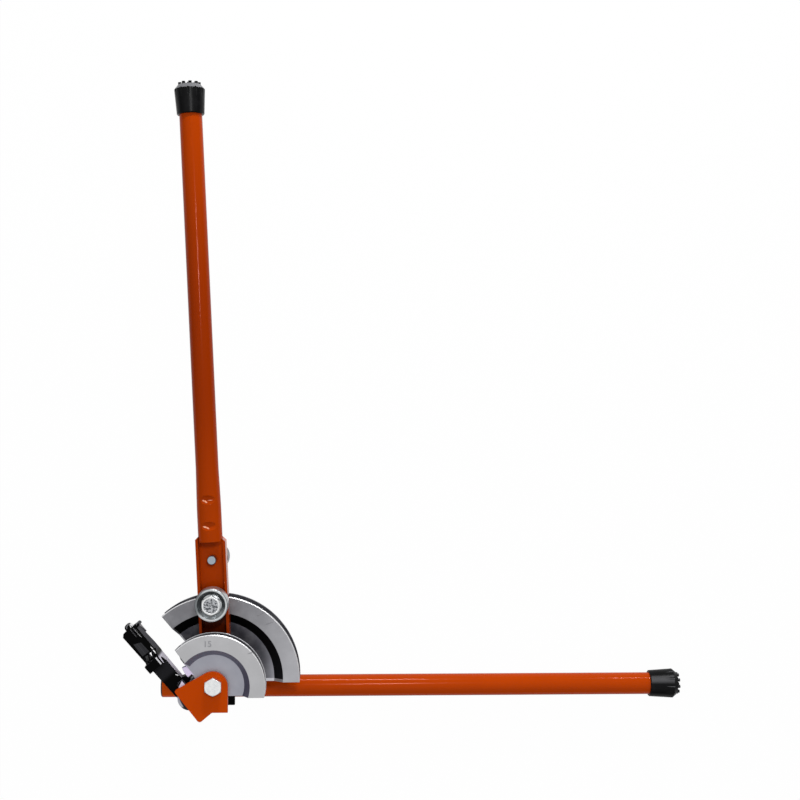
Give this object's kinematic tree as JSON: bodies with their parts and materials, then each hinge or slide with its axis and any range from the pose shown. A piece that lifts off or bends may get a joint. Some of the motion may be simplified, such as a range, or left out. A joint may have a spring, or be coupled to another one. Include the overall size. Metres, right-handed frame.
{
  "type": "lever pipe bender",
  "caption": "Two-handled lever pipe bender with stacked half-round formers, a swinging lever with two rollers and a black hook arm that holds the pipe.",
  "frame": {"origin": "on the bend axis, level with the lowest point of the tool lying on its back", "axes": "+Z along the bend axis towards the 15 mm former, +X along the lower handle, +Y along the raised lever"},
  "size_m": [0.6465, 0.7094, 0.1285],
  "materials": {
    "orange_paint": "gloss",
    "alloy": "satin",
    "zinc": "bright zinc plate",
    "roller_steel": "turned and zinc plated",
    "plain_steel": "machined",
    "black_iron": "black painted casting",
    "black_rubber": "matt",
    "black_plastic": "matt",
    "bronze": "sintered bronze"
  },
  "bodies": {
    "frame": {"lower_handle_tube": "orange_paint", "lower_handle_foot": "black_rubber", "lower_tube_plug": "black_plastic", "handle_bracket": "black_iron", "rear_plate": "black_iron", "front_plate": "orange_paint", "former_15": "alloy", "former_22": "alloy", "pivot_bolt": "zinc", "pivot_washer": "zinc", "pivot_nut": "zinc", "hook_pin": "zinc", "hook_circlip": "zinc", "hook_spacer_rear": "plain_steel", "hook_spacer_front": "plain_steel"},
    "lever": {"lever_channel": "orange_paint", "lever_hub": "plain_steel", "pivot_bush": "bronze", "lever_tube": "orange_paint", "lever_foot": "black_rubber", "lever_washer_front": "plain_steel", "lever_washer_rear": "plain_steel", "front_roller_boss": "plain_steel", "front_roller_sleeve": "plain_steel", "front_roller_bolt": "zinc", "front_roller_washer": "zinc", "rear_roller_axle": "zinc"},
    "front_roller": {"front_roller": "roller_steel"},
    "rear_roller": {"rear_roller": "roller_steel"},
    "hook": {"hook_arm": "black_iron", "hook_bush": "bronze"}
  },
  "joints": [
    {"name": "lever_hinge", "type": "hinge", "parent": "frame", "child": "lever", "pos_m": [0, 0, 0.0905], "axis": [0, 0, 1], "range_deg": [-90, 30]},
    {"name": "front_roller_spin", "type": "hinge", "parent": "lever", "child": "front_roller", "pos_m": [-0.00198, 0.09011, 0.113], "axis": [0, 0, 1], "continuous": true},
    {"name": "rear_roller_spin", "type": "hinge", "parent": "lever", "child": "rear_roller", "pos_m": [-0.00426, 0.13596, 0.064], "axis": [0, 0, 1], "continuous": true},
    {"name": "hook_hinge", "type": "hinge", "parent": "frame", "child": "hook", "pos_m": [-0.02645, -0.01437, 0.09], "axis": [0, 0, 1], "range_deg": [0, 80]}
  ]
}
